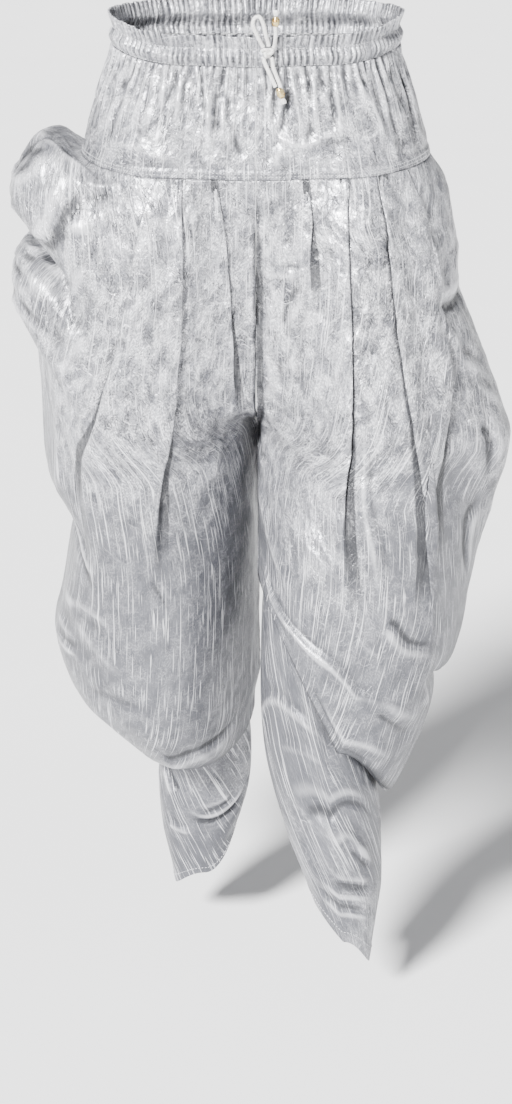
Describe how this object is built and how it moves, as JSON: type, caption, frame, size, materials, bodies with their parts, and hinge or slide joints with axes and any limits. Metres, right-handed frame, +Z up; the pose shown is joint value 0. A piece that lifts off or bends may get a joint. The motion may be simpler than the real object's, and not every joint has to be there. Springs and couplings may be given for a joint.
{
  "type": "dhoti-style trousers",
  "caption": "Silk-look dhoti trousers with a gathered drawstring waist, a hip yoke, deep pleats, draped cowls at the sides and narrow wrapped cuffs",
  "frame": {"origin": "middle of the waist opening at the height of the frill's edge, where the garment is held", "axes": "+X to the wearer's left, -Y to the front, +Z up along the garment"},
  "size_m": [0.523, 0.3822, 1.0024],
  "materials": {
    "dupion": "silver-grey art-silk dupion, satin face with uneven slub threads",
    "silk_cord": "twisted pale grey cord",
    "brass": "polished brass bead"
  },
  "bodies": {
    "root": {"waistband": "dupion", "yoke_right": "dupion", "yoke_left": "dupion", "right_front": "dupion", "right_side": "dupion", "right_back": "dupion", "right_cuff": "dupion", "left_front": "dupion", "left_side": "dupion", "left_back": "dupion", "left_cuff": "dupion", "drawstring_loop": "silk_cord", "drawstring_upper_end": "silk_cord", "drawstring_lower_end": "silk_cord", "drawstring_return": "silk_cord", "drawstring_knot": "silk_cord", "tip_upper": "silk_cord", "tip_lower": "silk_cord", "bead_upper": "brass", "bead_lower": "brass"}
  },
  "joints": []
}
